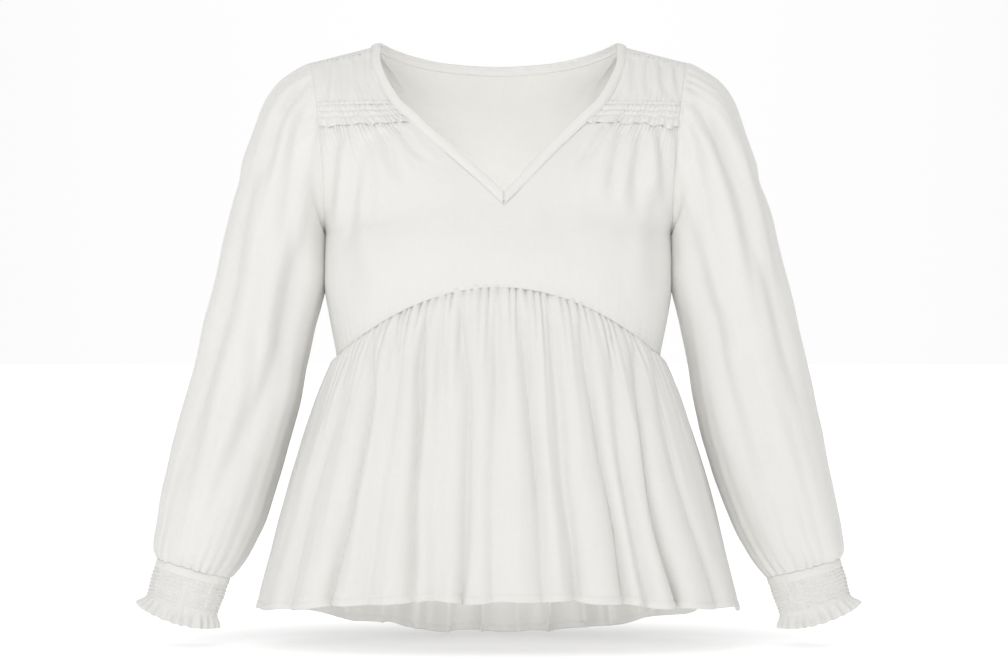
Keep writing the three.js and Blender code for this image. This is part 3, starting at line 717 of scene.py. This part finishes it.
# The folds down the front of each arm. The back of each arm has the other's, mirrored.
ARM_FOLDS = {
    -1: [
        Fold([(-262, -119), (-280, -192), (-294, -282), (-320, -372), (-337, -463), (-348, -534)], 10, 5.5),
        Fold([(-212, -200), (-222, -262), (-243, -355), (-280, -463), (-301, -525)], 11, 6.0),
        Fold([(-203, -36), (-226, -62), (-244, -101), (-256, -165)], 7, 4.5),
        Fold([(-203, -60), (-216, -95), (-226, -150), (-236, -230)], 8, 3.6),
        Fold([(-258, -300), (-272, -400), (-300, -480), (-322, -550)], 9, 3.4),
        Fold([(-282, -130), (-304, -220), (-318, -320)], 8, 3.4),
    ],
    1: [
        Fold(
            [(208, -36), (229, -84), (262, -155), (282, -228), (302, -290), (318, -360), (338, -440)], 9, 5.5
        ),
        Fold([(210, -60), (240, -110), (264, -192), (278, -270), (296, -350)], 8, 4.0),
        Fold([(206, -165), (214, -230), (232, -300), (264, -426), (299, -540)], 11, 6.0),
        Fold([(203, -80), (216, -140), (232, -210), (254, -300)], 8, 3.6),
        Fold([(258, -320), (286, -420), (318, -520)], 9, 3.4),
        Fold([(262, -90), (288, -160), (304, -240), (326, -340)], 8, 3.8),
    ],
}


def ring(inner, outer, half, degrees, dip=0):
    """A point of a ring: the angle is 0 on the outer side and 90 at the front."""
    a = radians(degrees)
    t = (1 + cos(a)) / 2
    z = lerp(inner[1], outer[1], t) - dip * sin(a) ** 2
    return Vector((lerp(inner[0], outer[0], t), -half * sin(a), z))


HEAD_GAP = 0.3  # between the sleeve's head and the armhole


def sleeve_ring(side, k, degrees):
    if k == 0:
        a = 360 - degrees if degrees > 180 else degrees
        return armhole(a, back=degrees > 180) + Vector((HEAD_GAP, 0, 0))
    inner, outer = SLEEVE_INNER[k - 1], SLEEVE_OUTER[k - 1]
    if side > 0:
        inner = (inner[0] - LEFT_SLACK[k - 1], inner[1])
    else:
        outer = (outer[0] - RIGHT_SLACK[k - 1], outer[1])
    return ring(inner, outer, SLEEVE_HALF[k - 1], degrees)


def on_sleeve(side):
    def place(u, v):
        degrees = u % 360
        if v < 0:
            p = sleeve_ring(side, 0, degrees) + Vector((20 * v, 0, 0))
        else:
            p = smooth_of(lambda k: sleeve_ring(side, k, degrees), len(SLEEVE_HALF), v)
        return Vector((p.x * side, p.y, p.z))

    return place


WRIST = len(SLEEVE_HALF)  # the entry where the sleeve runs into its cuff
FOLD_DEPTH = 1.35
SIDE_BLEND = 14  # the front's folds give way to the back's over this depth


def sleeve_relief(side):
    def relief(u, v, p):
        a = radians(u)
        down = v / WRIST
        around = Vector((cos(a), sin(a), 0))
        front = smoothstep(-p.y, 0, SIDE_BLEND)
        out = FOLD_DEPTH * front * folded(ARM_FOLDS[side], p.x, p.z)
        if front < 1:
            out += FOLD_DEPTH * smoothstep(p.y, -SIDE_BLEND, 0) * folded(ARM_FOLDS[-side], -p.x, p.z)
        out += 3.0 * noise.noise(around * 1.7 + Vector((0, 0, down * 1.6 + 9 * side))) * smoothstep(v, 0.3, 3)
        out += 1.6 * noise.noise(around * 5 + Vector((0, 0, down * 3 + 20 * side))) * smoothstep(v, 0.3, 2)
        cap_reach = 1.6 + 1.2 * crumple(u / 9, side, 53)
        cap = gathers(u * 0.95 + 4 * side, 10, 51 + side) * exp(-v / cap_reach)
        wrist_reach = 1.7 + 0.9 * crumple(u / 13, side, 56)
        wrist = gathers(u * 0.62, 11, 55 + side) * exp(-max(0, WRIST - v) / wrist_reach)
        out += 3.0 * cap * smoothstep(cos(a), -0.6, 0.3) * smoothstep(v, 0.02, 0.35) + 3.6 * wrist
        out += 0.9 * crumple(p.x / 22, p.z / 34, 57 + side)
        # Under the arm the sleeve lies against the side of the body, and fills out in front of it.
        under_arm = smoothstep(v, 0.5, 1.8) * (1 - smoothstep(v, 4.6, 7))
        turned = min(abs(u - 150), abs(u - 210)) / 26
        out = out * (1 - 0.7 * under_arm * exp(-(((u - 180) / 40) ** 2)))
        out += under_arm * (4.5 * exp(-turned * turned) + 3.6 * exp(-(((u - 180) / 22) ** 2)))
        out *= smoothstep(v, 0, 0.2) * (1 - 0.5 * smoothstep(v, WRIST - 0.4, WRIST))
        return out + smoothstep(v, WRIST - 0.7, WRIST)

    return relief


sleeve_cotton = woven("sleeve_cotton", COTTON, 1)
for side, sign in ("left", 1), ("right", -1):
    tube = [((0, 360, 144), (-TUCK, 0, 2)), ((0, 360, 144), (0, WRIST, 148))]
    inside_arm = (285 * sign, 0, -300)
    sleeve = sew(f"sleeve_{side}_cloth", tube, on_sleeve(sign), sleeve_relief(sign), WALL, inside_arm, 4)
    sleeve.data.materials.append(sleeve_cotton)
    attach(sleeve, "root")
    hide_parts(f"sleeve_{side}")

# ---------------------------------------------------------------------------------------------------------
# Cuffs: a tube of the same cloth, drawn in by rows of elastic thread below a plain header, and left free in a
# small frill at the hand.
CUFF_INNER = [(296, -586.5), (302.5, -607), (309.5, -626), (309.5, -642)]
CUFF_OUTER = [(374, -565.5), (381, -585), (386, -605), (397, -616)]
CUFF_HALF = [29, 28, 27.5, 33]
CUFF_DIP = [0, 0.5, 1, 6]
SHIRRED_FROM, SHIRRED_TO, SHIRRED_ROWS = 0.42, 2.0, 8
FRILL_WAVES, FRILL_DEPTH = 24, 3.2
CUFF_TUCK = 0.2  # how far the cuff's top reaches up inside the sleeve, in entries


def on_cuff(side):
    def place(u, v):
        degrees = u % 360
        at = lambda k: ring(CUFF_INNER[k], CUFF_OUTER[k], CUFF_HALF[k], degrees, CUFF_DIP[k])
        p = smooth_of(at, 3, v)
        return Vector((p.x * side, p.y, p.z))

    return place


def cuff_relief(side):
    def relief(u, v, p):
        a = radians(u)
        shirred = smoothstep(v, SHIRRED_FROM - 0.05, SHIRRED_FROM + 0.05) * (1 - smoothstep(v, 1.95, 2.1))
        bend = 0.05 * crumple(u / 25, 0, 63 + side)
        rows_down = (v + bend - SHIRRED_FROM) / (SHIRRED_TO - SHIRRED_FROM) * SHIRRED_ROWS
        row = 0.5 - 0.5 * cos(2 * pi * rows_down)
        pucker = gathers(u * 0.6 + 2 * crumple(v * 5, u / 20, 66), 3.8, 61 + side)
        out = shirred * (1.5 * row * (0.7 + 1.2 * pucker) - 0.5)
        frill = smoothstep(v, 2.0, 2.9)
        wave = sin(FRILL_WAVES * a + 2.2 * noise.noise(Vector((2 * cos(a), 2 * sin(a), side))))
        out += frill * FRILL_DEPTH * wave + smoothstep(v, 2, 2.15) * 0.7 * pucker * (1 - frill)
        header = 1 - smoothstep(v, SHIRRED_FROM - 0.1, SHIRRED_FROM + 0.05)
        out += header * (0.8 + 0.5 * crumple(u / 9, v * 3, 68 + side))
        return out - 2.2 * (1 - smoothstep(v, -0.15, 0.04))

    return relief


for side, sign in ("left", 1), ("right", -1):
    tube = [((0, 360, 216), (-CUFF_TUCK, len(CUFF_HALF) - 1, 58))]
    inside_cuff = (345 * sign, 0, -605)
    cuff = sew(f"cuff_{side}_cloth", tube, on_cuff(sign), cuff_relief(sign), WALL, inside_cuff)
    cuff.data.materials.append(band_cotton)
    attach(cuff, "root")
    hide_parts(f"cuff_{side}")

# ---------------------------------------------------------------------------------------------------------
# Peplum: a front and a back panel, gathered tightly onto the bodice and falling in deep uneven folds to a
# narrow stitched hem, which dips lower at the back.
HEM_HALF, HEM_SIDE_Z = 264.5, -618
FLARE = 0.75
# The valleys between the folds: where each lies across the body at the seam, a third and two thirds of the
# way down and at the hem, and how deep it is at the same four heights.
FRONT_VALLEYS = [
    (-160, -178, -205, -232, 2, 4, 6, 9), (-136, -140, -160, -186, 5, 8, 10, 14),
    (-112, -116, -128, -142, 3, 2, 3, 8), (-79, -83, -89, -93, 4, 9, 9, 11),
    (-63, -62, -64, -68, 3, 3, 1, 4), (-43, -33, -37, -39, 4, 7, 7, 10),
    (-3, -4, -8, -8, 3, 5, 3, 5), (20, 31, 44, 49, 4, 8, 9, 9),
    (50, 66, 74, 84, 4, 6, 7, 11), (84, 100, 118, 134, 4, 8, 9, 12),
    (120, 125, 141, 161, 3, 3, 4, 8), (147, 152, 168, 194, 4, 7, 10, 15),
    (163, 180, 206, 235, 2, 4, 6, 9),
]
BACK_VALLEYS = [
    (-158, -178, -200, -226, 2, 4, 6, 10), (-133, -140, -158, -178, 4, 8, 10, 15),
    (-106, -112, -124, -136, 3, 2, 5, 10), (-78, -80, -88, -94, 4, 8, 9, 15),
    (-47, -53, -56, -61, 3, 5, 4, 9), (-20, -17, -21, -19, 4, 7, 8, 13),
    (12, 17, 17, 22, 3, 3, 5, 8), (41, 46, 55, 58, 4, 8, 9, 14),
    (70, 80, 90, 97, 3, 4, 6, 10), (101, 110, 122, 131, 4, 8, 10, 15),
    (129, 141, 160, 176, 3, 4, 7, 10), (157, 178, 202, 229, 2, 5, 7, 12),
]
FRONT_HEM, BACK_HEM, HEM_SAG = Vector((0, -163, -602)), Vector((0, 146, -658)), 2
DROP = 330  # about how long the cloth is from seam to hem
TOP_TUCK = 0.8  # how far the gathered top edge lies under the bodice's
FOLD_FILL, CREASE_WIDTH, FOLD_LEAN = 1.25, 4.5, 0.9
GATHER_SPACING, GATHER_HEIGHT = 9.5, 5.2
HEM_STITCH, HEM_STITCH_WIDTH, HEM_FOLD = 9, 1.2, 0.35  # the stitches' height above the edge, and the fold's


class Peplum:
    def __init__(self, seam_row, hem_row, hem_depth, valleys, seed):
        self.seam_row, self.hem_row, self.hem_depth, self.seed = seam_row, hem_row, hem_depth, seed
        self.valleys = valleys
        self.span = seam_row.length

    @lru_cache(maxsize=None)
    def valleys_at(self, v):
        """Each valley's place and depth at one height, with the side seams as the first and the last."""
        at = 3 * max(v, 0)
        found = []
        for i, valley in enumerate(self.valleys):
            sway = 6 * crumple(2.4 * v, i * 3.1, self.seed + 4) * smoothstep(v, 0, 0.3)
            found.append((smooth(valley[:4], at) + sway, smooth(valley[4:], at)))
        side = lerp(self.seam_row.at(1).x, self.hem_row.at(1).x, max(v, 0) ** FLARE)
        return [(-side, 0), *found, (side, 0)]

    def place(self, u, v):
        """A point of the peplum: u runs from side seam to side seam, -1 to 1, v from the seam to the hem."""
        top, bottom = self.seam_row.at(abs(u)), self.hem_row.at(abs(u))
        flare = max(v, 0) ** FLARE
        p = Vector((lerp(top.x, bottom.x, flare), lerp(top.y, bottom.y, flare), lerp(top.z, bottom.z, v)))
        p.x *= -1 if u < 0 else 1
        out = Vector((p.x / HEM_HALF**2, p.y / self.hem_depth**2, 0)).normalized()
        if v < 0:
            return p - out * TOP_TUCK
        valleys = self.valleys_at(v)
        i = next((k for k in range(len(valleys) - 2) if valleys[k + 1][0] > p.x), len(valleys) - 2)
        (left, left_depth), (right, right_depth) = valleys[i], valleys[i + 1]
        s = min(max((p.x - left) / (right - left), 0), 1)
        depth = lerp(left_depth, right_depth, s)
        hang = smoothstep(v, 0, 0.12)
        shape = -0.55 * 0.5 * cos(2 * pi * s) + 0.45 * (0.5 - abs(2 * s - 1) ** 2.4)
        near = min(s, 1 - s) * (right - left) / CREASE_WIDTH
        p += out * (depth * (FOLD_FILL * shape - 0.5 * exp(-near * near)) * hang)
        along = Vector((-out.y, out.x, 0)) * (1 if out.y < 0 else -1)
        lean = crumple(i * 3.7, 1, self.seed)
        p += along * (FOLD_LEAN * depth * lean * sin(2 * pi * s) * v**1.5)
        p.z += 5 * crumple(u * 7, 2, self.seed) * v**6 * smoothstep(1 - abs(u), 0, 0.1)
        return p

    def relief(self, u, v, p):
        drop = v * DROP
        along = u * self.span
        reach = max(38 + 90 * crumple(along / 12, 5, self.seed), 10)
        ridge = gathers(along, GATHER_SPACING, self.seed) - 0.35 * (1 - smoothstep(drop, 0, 9))
        out = GATHER_HEIGHT * ridge * exp(-max(drop, 0) / reach) * smoothstep(drop, -3, 0.5)
        out += 2.8 * crumple(u * 13, drop / 190, self.seed + 1) * smoothstep(drop, 0, 60)
        out += 0.8 * crumple(u * 34, drop / 70, self.seed + 2) * smoothstep(drop, 0, 40)
        from_hem = DROP - drop
        out -= STITCH_DEPTH * exp(-(((from_hem - HEM_STITCH) / HEM_STITCH_WIDTH) ** 2))
        return out + HEM_FOLD * (1 - smoothstep(from_hem, HEM_STITCH - 2, HEM_STITCH + 0.5))


peplum_cotton = woven("peplum_cotton", COTTON, 2)
side_hem = Vector((HEM_HALF, 0, HEM_SIDE_Z))
front_hem_row = ClothRow(FRONT_HEM, side_hem, 1, HEM_SAG)
back_hem_row = ClothRow(BACK_HEM, side_hem, 1, HEM_SAG)
front_skirt = Peplum(front_row(EMPIRE_SEAM), front_hem_row, FRONT_HEM.y, FRONT_VALLEYS, seed=71)
back_skirt = Peplum(back_row(BACK_WAIST), back_hem_row, BACK_HEM.y, BACK_VALLEYS, seed=81)
HEM_FROM = 0.95  # from here down the rows lie closer, for the hem's stitches
for face, skirt, columns, rows, length in (
    ("front", front_skirt, 300, 92, 0.33),
    ("back", back_skirt, 250, 80, 0.32),
):
    across = (-1, 1, columns)
    panels = [(across, (-0.01, 0, 2)), (across, (0, HEM_FROM, rows)), (across, (HEM_FROM, 1, 12))]
    peplum = sew(f"peplum_{face}_cloth", panels, skirt.place, skirt.relief, WALL, (0, 0, -500), smoothing=2)
    peplum.data.materials.append(peplum_cotton)
    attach(peplum, "root")
    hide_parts(f"peplum_{face}")
